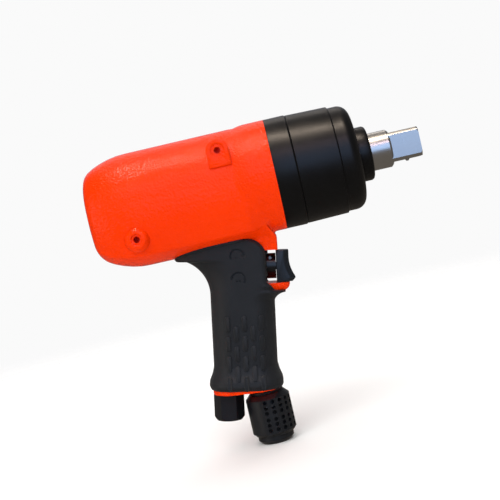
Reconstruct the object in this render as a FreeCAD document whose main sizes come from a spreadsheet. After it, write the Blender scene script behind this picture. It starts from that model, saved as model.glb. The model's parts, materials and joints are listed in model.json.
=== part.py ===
import FreeCAD, Part
import math
import os
import re
import Sketcher
from FreeCAD import Placement, Rotation, Vector

# Pneumatic impact wrench with a square drive.
# Frame: origin at the centre of the square drive's front face, +X forwards along the spindle,
# +Z up, the handle hanging down and raked back. Millimetres.

document = FreeCAD.newDocument("impact_wrench")
sheet = document.addObject("Spreadsheet::Sheet", "dims")
reader = document.addObject("App::FeaturePython", "reader")
aliases = []
pieces = {}


# ---------------------------------------------------------------- driving dimensions

def dimensions(title, **sizes):
    """Writes one titled block of driving dimensions into the sheet."""
    row = len(aliases) + 1
    sheet.set(f"C{row}", title)
    for alias, size in sizes.items():
        row = len(aliases) + 1
        sheet.set(f"A{row}", alias)
        sheet.set(f"B{row}", str(size))
        sheet.setAlias(f"B{row}", alias)
        aliases.append(alias)


dimensions("square drive and anvil",
           drive_width=19.05, drive_corner=12.2, drive_length=19, drive_bevel=1.0,
           journal=12.5, journal_bevel=1.3, journal_rear=-60.9,
           anvil_core=10.5, anvil_rear=-105, pilot=4.5, pilot_rear=-112,
           jaw_half=4, jaw_top=12.9, jaw_gap=1)
dimensions("socket detent",
           detent_x=-9.5, detent=1.5, detent_floor=-3, detent_foot=-5.5, detent_proud=1.3)
dimensions("running clearances",
           running=0.05)
dimensions("nose ring and seal",
           nose_front=-33, nose=18, nose_round=1.8, nose_lip=13, nose_lip_rear=-36,
           seal_outer=16, seal_bore=12.85)
dimensions("hammer case",
           case_front=-41.5, case_corner=7.5, case_step=34.5, case_step_x=-54.6, case_mid=35.55,
           case_rear=-82.3, case_outer=36.2, case_cavity=30.5, case_wall_x=-52,
           spigot=33, spigot_rear=-101)
dimensions("clamp ring and gasket",
           ring_rear=-96.7, ring_outer=36.6, ring_bevel=0.8, gasket_rear=-102)
dimensions("hammer cage",
           cage=28.7, cage_front=-55, cage_front_rear=-61, cage_rear_front=-106, cage_rear=-118,
           cage_web=26.8, cage_web_width=21.4, cage_bore=12.9, washer_outer=20)
dimensions("hammers",
           hammer=25, hammer_bore=15, hammer_split=-83.5, hammer_gap=0.3, pin_offset=21.5, pin=3.47,
           pin_hole=3.55, notch_half=9, notch_floor=17.4)
dimensions("air motor",
           motor=29.9, motor_bore=30, plate_front=-121.4, cylinder_front=-132.2, cylinder_rear=-189.4,
           plate_rear=-200.2, cylinder_bore=22.9, cylinder_lift=1.5, rotor=21, rotor_play=0.15,
           shaft=7.5, shaft_hole=8.2, hex_corner=7.4, hex_hole=7.47, hex_front=-107.5, hex_rear=-121,
           slot_width=3.1, slot_floor=10.5, vane_width=3.0, vane_floor=10.8, vane_tip=20.8,
           dowel=1.5, dowel_lift=27.1, port=2.5, vanes=6)
dimensions("ball bearings",
           bearing=16, bearing_width=9, bearing_inset=0.7, race_pitch=11.75, ball=2.55, groove=2.65,
           race_outer_bore=13.2, race_inner=10.3, cage_inner=11.15, cage_outer=12.35, cage_width=6.4,
           balls=9)
dimensions("housing barrel",
           barrel_front=-104, flange=36.7, flange_rear=-116, flare_rear=-120.5,
           barrel_nose_scale=0.85, shoulder_x=-119,
           side=33.5, crown_lift=2.3, skirt=27.5, skirt_drop=-32.5, keel=-39.9, flank_round=60,
           keel_round=60,
           bevel_start=-196, bevel_end=-217, bevel_scale=0.815, back_x=-220.8, back_scale=0.67,
           bore_rear=-202, chamber=20, chamber_rear=-213)
dimensions("suspension bosses",
           boss_x=-191.2, boss_z=-21.5, boss_base=8.3, boss_face=5.6, boss_top=35.2, boss_sink=3.4,
           arch_x=-129.1, arch_z=21.8, arch=7.3, arch_face=34.0, arch_drop=10.5, tapped=2.1,
           tapped_depth=9, boss_counterbore=3.35, arch_counterbore=4.15, counterbore_depth=1)
dimensions("handle frame and core",
           handle_x=-140.3, handle_z=-100, rake=10.2, core_u=18.2, core_y=16, core_corner=12,
           rim_u=22.3, rim_y=20, rim_corner=15, flare_top=-17, flare_foot=-30, core_top=72,
           core_foot=-38.5, base_rear=-37.3, base_front=-34.1)
dimensions("trigger bay",
           face_u=15.5, bay_floor=35.2, bay_roof=57, shelf_u=31.3, shelf_bottom=29.6, shelf_y=11.5,
           shelf_corner=7, nose_u=23.9, nose_y=15)
dimensions("grip sleeve",
           grip_u=21.2, grip_y=19, grip_corner=14.5, foot_u=24.5, foot_y=22.4, foot_corner=17,
           grip_foot=-33.7, grip_foot_top=-28, grip_flare=-18.5, beak_u=-42.5, beak_v=51.8,
           lip_u=28.9, lip_v=29.5, lip_y=12.5, sleeve_top=67, window_y=11.8)
dimensions("throttle and reverse valve",
           throttle_v=46, throttle_bore=9.4, throttle_floor=-16, sleeve_bore=7.5, sleeve_rear=-4,
           spool=7.44, spool_rear=-3, spool_front=16.2, stem=2.5, stem_hole=2.8, seat_rear=-6.4,
           seat_bore=4.2, valve=5.6, valve_length=2, valve_play=0.2, collar=8.4, collar_front=17.9,
           hub=8.4, hub_front=23.0, tab=10.2, tab_half=3, lever_pin=1, pin_reach=5.4, pin_drop=2.9,
           pin_setback=1.4, spring_wire=0.8, spring_coil=3.6, spring_turns=5)
dimensions("trigger",
           trigger_back=23.2, trigger_foot=35.7, trigger_head=56.3, trigger_y=10.4, trigger_wall=1.6,
           trigger_hollow=28.8, trigger_top_u=31.6, trigger_lip_u=35.7, trigger_lip_v=38.1,
           trigger_toe_u=33.6, trigger_curve=26, trigger_bevel=1.6)
dimensions("air inlet",
           inlet_u=-12.5, inlet_top=-24, inlet_foot=-55.2, hex_flat=17.5, inlet_shank=6.6,
           inlet_thread=5.72, inlet_collar=-38.2, passage_u=-9.5, passage=5.5, side_passage=2.8,
           side_passage_y=11.7, screen_top=-24.3, screen_foot=-28, hex_bevel=2.2,
           inlet_ring=8, inlet_ring_thick=1.0)
dimensions("exhaust",
           deflector_x=-134.7, stub=7.5, stub_top=-127.5, stub_bore=5.6, collar_top=-138.0,
           swivel_collar=11.2, collar_foot=-139.2, neck=10, neck_foot=-150, deflector_top=-139.5,
           deflector=14.75, deflector_shoulder=-142.6, deflector_brow=11.8, deflector_wall=2.0,
           deflector_foot=-165.4, swivel_depth=-146.5, snap_ring=11.2, snap_top=-147, snap_foot=-148.2,
           cap=12, cap_foot=-173, cap_top=-167.6, cap_bevel=2.4, vent=1.35, vent_first=-144.4,
           vent_pitch=3.5, vent_break=1.0, vent_rows=6, vent_columns=10, vent_step=20,
           vent_start=-98, felt=5.4, liner_thick=1.4, liner_play=0.1)
document.recompute()

ALIAS_WORDS = re.compile(r"[a-z][a-z_0-9]*")


def bound(text):
    """Gives an expression in which every alias is read from the sheet."""
    return ALIAS_WORDS.sub(lambda m: "dims." + m[0] if m[0] in aliases else m[0], str(text))


def size(text):
    """Gives the number that an expression of aliases stands for."""
    return float(reader.evalExpression(bound(text)))


def bind(item, **expressions):
    """Binds properties of an object to expressions of aliases."""
    for name, text in expressions.items():
        item.setExpression(name, bound(text))


# ---------------------------------------------------------------- frames

SPINDLE = Placement()
UPWARDS = Rotation(Vector(0, 1, 0), -90)
SIDEWAYS = Rotation(Vector(0, 0, 1), -90)
HANDLE = Placement(Vector(size("handle_x"), 0, size("handle_z")),
                   Rotation(Vector(0, 1, 0), size("rake")))


def moved(place, x="0", y="0", z="0", turn=None):
    """Gives a frame shifted inside another one, and turned there when a rotation is given."""
    return place * Placement(Vector(size(x), size(y), size(z)), turn or Rotation())


THROTTLE = moved(HANDLE, z="throttle_v")
INLET = moved(HANDLE, x="inlet_u", turn=UPWARDS)
SWIVEL = moved(SPINDLE, x="deflector_x", turn=UPWARDS)


# ---------------------------------------------------------------- modelling helpers

def arc_through(start, end, radius):
    """Gives the shorter arc between two points, drawn anticlockwise. A positive radius bulges to
    the right of travel, a negative one to the left."""
    chord = end - start
    half = chord.Length / 2
    rise = abs(radius) - math.sqrt(max(radius * radius - half * half, 0))
    side = Vector(chord.y, -chord.x, 0).normalize() * math.copysign(rise, radius)
    middle = start + chord * 0.5 + side
    return Part.Arc(start, middle, end) if radius > 0 else Part.Arc(end, middle, start)


def outline_sketch(body, role, corners, height="0"):
    """Draws a closed outline with its corners bound to the sheet. A corner is (x, y) or, where the
    edge that leaves it is an arc, (x, y, radius)."""
    plane = [item for item in body.Origin.OriginFeatures if item.Role == role][0]
    sketch = body.newObject("Sketcher::SketchObject", body.Label + "_sketch")
    sketch.AttachmentSupport = [(plane, "")]
    sketch.MapMode = "FlatFace"
    sketch.setExpression(".AttachmentOffset.Base.z", bound(height))
    points = [Vector(size(corner[0]), size(corner[1]), 0) for corner in corners]
    count = len(corners)
    first_ends = []
    for index, corner in enumerate(corners):
        start = points[index]
        end = points[(index + 1) % count]
        radius = size(corner[2]) if len(corner) == 3 else 0
        edge = arc_through(start, end, radius) if radius else Part.LineSegment(start, end)
        sketch.addGeometry(edge, False)
        first_ends.append(2 if radius < 0 else 1)
    for index, corner in enumerate(corners):
        after = (index + 1) % count
        sketch.addConstraint(
            Sketcher.Constraint("Coincident", index, 3 - first_ends[index], after, first_ends[after]))
    for index, corner in enumerate(corners):
        for kind, text, number in (("DistanceX", corner[0], points[index].x),
                                   ("DistanceY", corner[1], points[index].y)):
            row = sketch.addConstraint(
                Sketcher.Constraint(kind, -1, 1, index, first_ends[index], number))
            sketch.setExpression(f"Constraints[{row}]", bound(text))
        if len(corner) == 3:
            row = sketch.addConstraint(Sketcher.Constraint("Radius", index, abs(size(corner[2]))))
            sketch.setExpression(f"Constraints[{row}]", bound(f"abs({corner[2]})"))
    return sketch


def new_body(label, place):
    """Starts a body with its place."""
    body = document.addObject("PartDesign::Body", label)
    body.Label = label
    body.Placement = place
    return body


def turned(label, corners, place=SPINDLE):
    """Turns an outline of (position along X, radius) about the frame's X axis."""
    body = new_body(label, place)
    sketch = outline_sketch(body, "XZ_Plane", corners)
    solid = body.newObject("PartDesign::Revolution", label + "_turning")
    solid.Profile = sketch
    solid.ReferenceAxis = (sketch, ["H_Axis"])
    solid.Angle = 360
    sketch.Visibility = False
    return body


def ring(label, rear, front, bore, outer, place=SPINDLE):
    """A plain ring between two positions along X."""
    return turned(label, [(rear, bore), (front, bore), (front, outer), (rear, outer)], place)


def drum(label, rear, front, outer, place=SPINDLE):
    """A plain round bar between two positions along X."""
    return turned(label, [(rear, "0"), (front, "0"), (front, outer), (rear, outer)], place)


def plate(label, role, corners, length, place=SPINDLE, height="0", midplane=False):
    """Pads an outline, from a height above its plane or to both sides of it."""
    body = new_body(label, place)
    sketch = outline_sketch(body, role, corners, height)
    solid = body.newObject("PartDesign::Pad", label + "_pad")
    solid.Profile = sketch
    solid.Midplane = midplane
    bind(solid, Length=length)
    return body


def lofted(label, role, sections, place=SPINDLE):
    """Joins outlines at several heights with straight-sided stretches."""
    body = new_body(label, place)
    sketches = [outline_sketch(body, role, corners, height) for corners, height in sections]
    solid = body.newObject("PartDesign::AdditiveLoft", label + "_loft")
    solid.Profile = sketches[0]
    solid.Sections = sketches[1:]
    solid.Ruled = True
    return body


def block(label, low, high, place=SPINDLE):
    """A box between two corners given as expressions."""
    box = document.addObject("Part::Box", label)
    bind(box, Length=f"{high[0]} - ({low[0]})", Width=f"{high[1]} - ({low[1]})",
         Height=f"{high[2]} - ({low[2]})")
    box.Placement = moved(place, *low)
    return box


def rod(label, radius, length, place):
    """A round bar along the frame's X axis from its origin."""
    bar = document.addObject("Part::Cylinder", label)
    bind(bar, Radius=radius, Height=length)
    bar.Placement = place * Placement(Vector(), Rotation(Vector(0, 1, 0), 90))
    return bar


def hexagon(label, corner, length, place):
    """A hexagonal bar along the frame's X axis, with two corners on its local Z line."""
    bar = document.addObject("Part::Prism", label)
    bar.Polygon = 6
    bind(bar, Circumradius=corner, Height=length)
    bar.Placement = place * Placement(Vector(), Rotation(Vector(0, 1, 0), 90))
    return bar


def fused(label, *parts):
    """Joins several solids into one."""
    result = document.addObject("Part::MultiFuse", label)
    result.Label = label
    result.Shapes = list(parts)
    return result


def group(label, *parts):
    """Keeps several separate solids together under one name."""
    result = document.addObject("Part::Compound", label)
    result.Label = label
    result.Links = list(parts)
    return result


def cut(label, base, *tools):
    """Takes one or more solids away from another."""
    result = document.addObject("Part::Cut", label)
    result.Label = label
    result.Base = base
    result.Tool = tools[0] if len(tools) == 1 else group(label + "_tools", *tools)
    return result


def common(label, first, second):
    """Keeps what two solids share."""
    result = document.addObject("Part::Common", label)
    result.Label = label
    result.Base = first
    result.Tool = second
    return result


def coil(label, radius, wire, length, turns, place):
    """A wound spring along the frame's X axis."""
    helix = document.addObject("Part::Helix", label + "_line")
    bind(helix, Radius=radius, Height=length, Pitch=f"({length}) / ({turns})")
    wire_end = document.addObject("Part::Circle", label + "_wire")
    bind(wire_end, Radius=wire)
    wire_end.Placement = Placement(Vector(size(radius), 0, 0), Rotation(Vector(1, 0, 0), 90))
    spring = document.addObject("Part::Sweep", label)
    spring.Sections = [wire_end]
    spring.Spine = (helix, ["Edge1"])
    spring.Solid = True
    spring.Frenet = True
    spring.Placement = place * Placement(Vector(), Rotation(Vector(0, 1, 0), 90))
    return spring


def piece(item, label=None):
    """Lists a finished sub-part under its own name."""
    item.Label = label or item.Label
    pieces[item.Label] = item
    return item


def rounded(half_x, half_y, corner):
    """The outline of a rectangle with round corners, anticlockwise from the lower right."""
    return [(half_x, f"{corner} - {half_y}"), (half_x, f"{half_y} - {corner}", corner),
            (f"{half_x} - {corner}", half_y), (f"{corner} - {half_x}", half_y, corner),
            (f"-{half_x}", f"{half_y} - {corner}"), (f"-{half_x}", f"{corner} - {half_y}", corner),
            (f"{corner} - {half_x}", f"-{half_y}"), (f"{half_x} - {corner}", f"-{half_y}", corner)]


# ---------------------------------------------------------------- motor housing

def barrel_section(scale):
    """Barrel seen along X: round above, flat-sided below, with a shallow keel."""
    return [(f"side * {scale}", f"crown_lift * {scale}", f"side * {scale}"),
            ("0", f"(crown_lift + side) * {scale}", f"side * {scale}"),
            (f"-side * {scale}", f"crown_lift * {scale}", f"flank_round * {scale}"),
            (f"-skirt * {scale}", f"skirt_drop * {scale}", f"keel_round * {scale}"),
            ("0", f"keel * {scale}", f"keel_round * {scale}"),
            (f"skirt * {scale}", f"skirt_drop * {scale}", f"flank_round * {scale}")]


def barrel(label):
    """Outer form of the barrel with its bevelled rear end and its round front flange."""
    tube = lofted(label + "_tube", "YZ_Plane",
                  [(barrel_section("barrel_nose_scale"), "barrel_front"),
                   (barrel_section("1"), "shoulder_x"), (barrel_section("1"), "bevel_start"),
                   (barrel_section("bevel_scale"), "bevel_end"),
                   (barrel_section("back_scale"), "back_x")])
    front = turned(label + "_flange",
                   [("ring_rear", "0"), ("ring_rear", "flange"), ("flange_rear", "flange"),
                    ("flare_rear", "side"), ("flare_rear", "0")])
    return fused(label, tube, front)


def handle_core(label):
    """Metal core of the handle with its flared foot."""
    shaft = plate(label + "_shaft", "XY_Plane", rounded("core_u", "core_y", "core_corner"),
                  "core_top - core_foot", HANDLE, "core_foot")
    foot = lofted(label + "_foot", "XY_Plane",
                  [(rounded("core_u", "core_y", "core_corner"), "flare_top"),
                   (rounded("rim_u", "rim_y", "rim_corner"), "flare_foot"),
                   (rounded("rim_u", "rim_y", "rim_corner"), "core_foot")], HANDLE)
    below_base = plate(label + "_below", "XZ_Plane",
                       [("-60", "base_rear - (60 - rim_u) * (base_front - base_rear) / (2 * rim_u)"),
                        ("-60", "-90"), ("60", "-90"),
                        ("60", "base_front + (60 - rim_u) * (base_front - base_rear) / (2 * rim_u)")],
                       "100", HANDLE, midplane=True)
    face = block(label + "_face", ("face_u", "-30", "bay_floor"), ("50", "30", "bay_roof"), HANDLE)
    return cut(label, fused(label + "_whole", shaft, foot), below_base, face)


def suspension_boss(label, side_sign):
    """Round tapped boss low on the flank, near the rear."""
    turn = Rotation(Vector(0, 0, 1), 90 * side_sign)
    place = moved(SPINDLE, "boss_x", "0", "boss_z", turn)
    return turned(label, [("24", "0"), ("24", "boss_base"), ("boss_top - boss_sink", "boss_base"),
                          ("boss_top", "boss_face"), ("boss_top", "0")], place)


def arched_boss(label, side_sign):
    """Boss high on the flank with a flat face and an arched top."""
    corners = [("arch_x - arch", "arch_z - arch_drop"), ("arch_x + arch", "arch_z - arch_drop"),
               ("arch_x + arch", "arch_z", "arch"), ("arch_x", "arch_z + arch", "arch"),
               ("arch_x - arch", "arch_z")]
    height = "22" if side_sign < 0 else "-arch_face"
    return plate(label, "XZ_Plane", corners, "arch_face - 22", SPINDLE, height)


def tapped_hole(label, x, z, face, counterbore, side_sign):
    """Tapped hole with a counterbore, square to the flank."""
    turn = Rotation(Vector(0, 0, 1), 90 * side_sign)
    return turned(label, [(f"{face} - tapped_depth", "0"), (f"{face} - tapped_depth", "tapped"),
                          (f"{face} - counterbore_depth", "tapped"),
                          (f"{face} - counterbore_depth", counterbore),
                          (f"{face} + 5", counterbore), (f"{face} + 5", "0")],
                  moved(SPINDLE, x, "0", z, turn))


def motor_housing():
    """Casting: barrel, handle core, nose over the trigger, shelf under it, bosses and passages."""
    nose = block("housing_nose", ("6", "-nose_y", "bay_roof"), ("nose_u", "nose_y", "core_top"), HANDLE)
    shelf = plate("housing_shelf", "XY_Plane",
                  [("0", "-shelf_y"), ("shelf_u - shelf_corner", "-shelf_y", "shelf_corner"),
                   ("shelf_u", "shelf_corner - shelf_y"), ("shelf_u", "shelf_y - shelf_corner",
                                                          "shelf_corner"),
                   ("shelf_u - shelf_corner", "shelf_y"), ("0", "shelf_y")],
                  "bay_floor - shelf_bottom", HANDLE, "shelf_bottom")
    bosses = []
    holes = []
    for side_sign, side_name in ((-1, "near"), (1, "far")):
        bosses.append(suspension_boss("boss_" + side_name, side_sign))
        bosses.append(arched_boss("arch_" + side_name, side_sign))
        holes.append(tapped_hole("boss_hole_" + side_name, "boss_x", "boss_z", "boss_top",
                                 "boss_counterbore", side_sign))
        holes.append(tapped_hole("arch_hole_" + side_name, "arch_x", "arch_z", "arch_face",
                                 "arch_counterbore", side_sign))
    outer = fused("housing_outer", barrel("barrel"), handle_core("core"), nose, shelf, *bosses)
    bore = turned("housing_bore",
                  [("chamber_rear", "0"), ("chamber_rear", "chamber"), ("bore_rear", "chamber"),
                   ("bore_rear", "motor_bore"), ("gasket_rear", "motor_bore"),
                   ("gasket_rear", "spigot"), ("-90", "spigot"), ("-90", "0")])
    throttle_way = turned("throttle_way",
                          [("throttle_floor", "0"), ("40", "0"), ("40", "throttle_bore"),
                           ("seat_rear", "throttle_bore"), ("seat_rear", "valve + 1"),
                           ("throttle_floor", "valve + 1")], THROTTLE)
    inlet_way = turned("inlet_way", [("core_foot - 5", "0"), ("inlet_top", "0"),
                                     ("inlet_top", "inlet_shank"), ("core_foot - 5", "inlet_shank")],
                       INLET)
    feed = rod("feed_way", "passage", "throttle_v - inlet_top",
               moved(HANDLE, "passage_u", "0", "inlet_top", UPWARDS))
    exhaust_way = turned("exhaust_way", [("-150", "0"), ("stub_top + 6", "0"),
                                         ("stub_top + 6", "felt"), ("stub_top", "felt"),
                                         ("stub_top", "stub"), ("-150", "stub")], SWIVEL)
    sides = [rod("side_way_" + name, "side_passage", "core_top - bay_floor + 12",
                 moved(HANDLE, "4", y, "bay_floor - 12", UPWARDS))
             for name, y in (("near", "-side_passage_y"), ("far", "side_passage_y"))]
    felt_way = rod("felt_way", "felt + 0.6", "50", moved(HANDLE, "8.5", "0", "-24", UPWARDS))
    cross = block("cross_way", ("2", "-side_passage_y - 1", "23.5"), ("8", "side_passage_y + 1", "25.8"),
                  HANDLE)
    piece(cut("motor_housing", outer, bore, throttle_way, inlet_way, feed, exhaust_way, felt_way,
              cross, *sides, *holes))


# ---------------------------------------------------------------- handle grip

def handle_grip():
    """Rubber sleeve over the handle core, with its rear beak, trigger lip and flared foot."""
    stem = plate("grip_stem", "XY_Plane", rounded("grip_u", "grip_y", "grip_corner"),
                 "32 - grip_flare", HANDLE, "grip_flare")
    foot = lofted("grip_foot_form", "XY_Plane",
                  [(rounded("grip_u", "grip_y", "grip_corner"), "grip_flare"),
                   (rounded("foot_u", "foot_y", "foot_corner"), "grip_foot_top"),
                   (rounded("foot_u", "foot_y", "foot_corner"), "grip_foot")], HANDLE)
    profile = plate("grip_profile", "XZ_Plane",
                    [("-grip_u", "28"), ("grip_u", "25.1"), ("lip_u", "lip_v"),
                     ("face_u + 5.5", "lip_v + 0.9"), ("face_u + 1.2", "bay_floor"),
                     ("face_u + 0.6", "55.4"), ("13.8", "59.5"), ("8.9", "63"), ("8.9", "sleeve_top"),
                     ("beak_u", "sleeve_top"), ("beak_u", "beak_v"), ("-35.9", "51.4", "-24")],
                    "60", HANDLE, midplane=True)
    plan = plate("grip_plan", "XY_Plane",
                 [("beak_u", "-7", "40"), ("-grip_u + 6", "-grip_y"), ("12", "-grip_y", "grip_corner"),
                  ("lip_u", "4 - lip_y"), ("lip_u", "lip_y - 4", "grip_corner"), ("12", "grip_y"),
                  ("-grip_u + 6", "grip_y", "40"), ("beak_u", "7")],
                 "sleeve_top - 20", HANDLE, "20")
    head = common("grip_head", profile, plan)
    sleeve = fused("grip_outer", stem, foot, head)
    window = block("grip_window", ("face_u", "-window_y", "bay_floor"), ("40", "window_y", "bay_roof"),
                   HANDLE)
    roof = block("grip_roof", ("-60", "-40", "sleeve_top - 1"), ("60", "40", "90"), HANDLE)
    piece(cut("handle_grip", sleeve, handle_core("grip_core"), barrel("grip_barrel"),
              plate("grip_shelf", "XY_Plane",
                    [("0", "-shelf_y"), ("shelf_u + 1", "-shelf_y"), ("shelf_u + 1", "shelf_y"),
                     ("0", "shelf_y")], "bay_floor - shelf_bottom", HANDLE, "shelf_bottom"),
              block("grip_nose", ("6", "-nose_y", "bay_roof"), ("40", "nose_y", "core_top"), HANDLE),
              window, roof))


# ---------------------------------------------------------------- front end

def front_end():
    """Clamp ring, hammer case, nose ring, and the bushing, seal, gasket and washer inside them."""
    piece(turned("clamp_ring",
                 [("ring_rear", "spigot"), ("case_rear", "spigot"),
                  ("case_rear", "ring_outer - ring_bevel"), ("case_rear - ring_bevel", "ring_outer"),
                  ("ring_rear", "ring_outer")]))
    piece(turned("hammer_case",
                 [("case_front", "seal_outer"), ("case_front", "case_step - case_corner", "case_corner"),
                  ("case_front - case_corner", "case_step"), ("case_step_x", "case_step"),
                  ("case_step_x", "case_mid"), ("case_rear", "case_outer"), ("case_rear", "spigot"),
                  ("spigot_rear", "spigot"), ("spigot_rear", "case_cavity"),
                  ("case_wall_x", "case_cavity"), ("case_wall_x", "seal_outer")]))
    piece(ring("case_gasket", "gasket_rear", "spigot_rear", "case_cavity", "spigot"))
    piece(ring("anvil_bushing", "case_wall_x", "case_front", "journal + running", "seal_outer"))
    piece(turned("nose_ring",
                 [("nose_front", "nose_lip"), ("nose_front", "nose - nose_round", "nose_round"),
                  ("nose_front - nose_round", "nose"), ("case_front", "nose"),
                  ("case_front", "seal_outer"), ("nose_lip_rear", "seal_outer"),
                  ("nose_lip_rear", "nose_lip")]))
    piece(turned("anvil_oil_seal",
                 [("case_front", "seal_bore + 1.2"), ("case_front + 3", "seal_bore"),
                  ("nose_lip_rear", "seal_bore + 0.6"), ("nose_lip_rear", "seal_outer"),
                  ("case_front", "seal_outer")]))
    piece(ring("thrust_washer", "cage_front + 0.2", "case_wall_x", "cage_bore", "washer_outer"))


def anvil():
    """Anvil: square drive, journal, and the shaft with its two jaws inside the hammers."""
    bar = block("drive_bar", ("-drive_length - 2", "-drive_width / 2", "-drive_width / 2"),
                ("0", "drive_width / 2", "drive_width / 2"))
    envelope = turned("drive_envelope",
                      [("-drive_length - 2", "0"), ("-drive_length - 2", "drive_corner"),
                       ("-drive_bevel", "drive_corner"), ("0", "drive_corner - drive_bevel"),
                       ("0", "0")])
    square = common("drive_square", bar, envelope)
    shaft = turned("anvil_shaft",
                   [("-drive_length", "0"), ("-drive_length", "journal - journal_bevel"),
                    ("-drive_length - journal_bevel", "journal"), ("journal_rear", "journal"),
                    ("journal_rear", "anvil_core"), ("anvil_rear", "anvil_core"),
                    ("anvil_rear", "pilot"), ("pilot_rear", "pilot"), ("pilot_rear", "0")])
    front_jaw = block("front_jaw", ("hammer_split + jaw_gap", "-jaw_half", "0"),
                      ("cage_front_rear - hammer_gap", "jaw_half", "jaw_top"))
    rear_jaw = block("rear_jaw", ("anvil_rear", "-jaw_half", "-jaw_top"),
                     ("hammer_split - jaw_gap", "jaw_half", "0"))
    pin_hole = rod("detent_hole", "detent + running", "20",
                   moved(SPINDLE, "detent_x", "0", "detent_floor", Rotation(Vector(0, 1, 0), 90)))
    piece(cut("anvil", fused("anvil_whole", square, shaft, front_jaw, rear_jaw), pin_hole))
    downwards = moved(SPINDLE, "detent_x", "0", "0", Rotation(Vector(0, 1, 0), 90))
    tip = "drive_width / 2 + detent_proud"
    piece(turned("detent_pin", [("-detent_foot", "0"), ("-detent_foot", "detent"),
                                (f"{tip} - 1.1", "detent"), (tip, "0.7"), (tip, "0")], downwards))
    piece(coil("detent_spring", "0.95", "0.25", "-detent_foot + detent_floor - 0.6", "4",
               moved(downwards, "-detent_floor + 0.3")))


def hammer_mechanism():
    """Cage on the rotor's hexagon, its two pins, and the two ring hammers that rock on them."""
    front = ring("cage_front_plate", "cage_front_rear", "cage_front", "cage_bore", "cage")
    rear = turned("cage_rear_plate",
                  [("cage_rear", "0"), ("cage_rear", "cage"), ("cage_rear_front", "cage"),
                   ("cage_rear_front", "0")])
    hole = hexagon("cage_hexagon", "hex_hole", "20", moved(SPINDLE, "cage_rear - 2"))
    shell = ring("cage_shell", "cage_rear_front", "cage_front_rear", "cage_web", "cage")
    band = block("cage_band", ("cage_rear_front", "-cage_web_width / 2", "-40"),
                 ("cage_front_rear", "cage_web_width / 2", "40"))
    webs = common("cage_webs", shell, band)
    pins = []
    pin_holes = []
    for name, offset in (("upper", "pin_offset"), ("lower", "-pin_offset")):
        pins.append(rod(f"{name}_pin", "pin", "cage_front - cage_rear - 1",
                        moved(SPINDLE, "cage_rear + 0.5", "0", offset)))
        pin_holes.append(rod(f"{name}_pin_hole", "pin", "cage_front - cage_rear - 1",
                             moved(SPINDLE, "cage_rear + 0.5", "0", offset)))
    piece(cut("hammer_cage", fused("cage_whole", front, rear, webs), hole, *pin_holes))
    piece(group("hammer_pins", *pins))
    for name, pivot, rear_end, front_end_x in (
            ("front", 1, "hammer_split + hammer_gap / 2", "cage_front_rear - hammer_gap"),
            ("rear", -1, "cage_rear_front + hammer_gap", "hammer_split - hammer_gap / 2")):
        blank = ring(f"hammer_{name}_blank", rear_end, front_end_x, "hammer_bore", "hammer")
        pivot_hole = rod(f"hammer_{name}_pivot", "pin_hole", "60",
                         moved(SPINDLE, "cage_rear", "0", f"{pivot} * pin_offset"))
        if pivot > 0:
            low, high = ("cage_rear", "-notch_half", "-40"), ("cage_front", "notch_half", "-notch_floor")
        else:
            low, high = ("cage_rear", "-notch_half", "notch_floor"), ("cage_front", "notch_half", "40")
        notch = block(f"hammer_{name}_notch", low, high)
        piece(cut(f"{name}_hammer", blank, pivot_hole, notch))


# ---------------------------------------------------------------- air motor

def bearing(name, rear):
    """Ball bearing: outer race, inner race, and the balls with their cage."""
    middle = f"{rear} + bearing_width / 2"
    front = f"{rear} + bearing_width"

    def raceway(label, pitch="race_pitch"):
        torus = document.addObject("Part::Torus", label)
        bind(torus, Radius1=pitch, Radius2="groove")
        torus.Placement = moved(SPINDLE, middle, turn=Rotation(Vector(0, 1, 0), 90))
        return torus

    piece(cut(f"{name}_bearing_outer", ring(f"{name}_outer_blank", rear, front, "race_outer_bore",
                                            "bearing"), raceway(f"{name}_outer_way")))
    piece(cut(f"{name}_bearing_inner", ring(f"{name}_inner_blank", rear, front, "shaft", "race_inner"),
              raceway(f"{name}_inner_way")))
    spheres = []
    pockets = []
    count = int(size("balls"))
    for number in range(count):
        angle = 360 / count * number
        spin = Placement(Vector(size(middle), 0, 0), Rotation(Vector(1, 0, 0), angle))
        for kind, radius, kept in (("ball", "ball", spheres), ("pocket", "ball + running", pockets)):
            sphere = document.addObject("Part::Sphere", f"{name}_{kind}_{number}")
            bind(sphere, Radius=radius)
            sphere.Placement = spin * Placement(Vector(0, 0, size("race_pitch")), Rotation())
            kept.append(sphere)
    piece(group(f"{name}_bearing_balls", *spheres))
    blank = ring(f"{name}_cage_blank", f"{middle} - cage_width / 2", f"{middle} + cage_width / 2",
                 "cage_inner", "cage_outer")
    piece(cut(f"{name}_bearing_cage", blank, *pockets))


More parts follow.
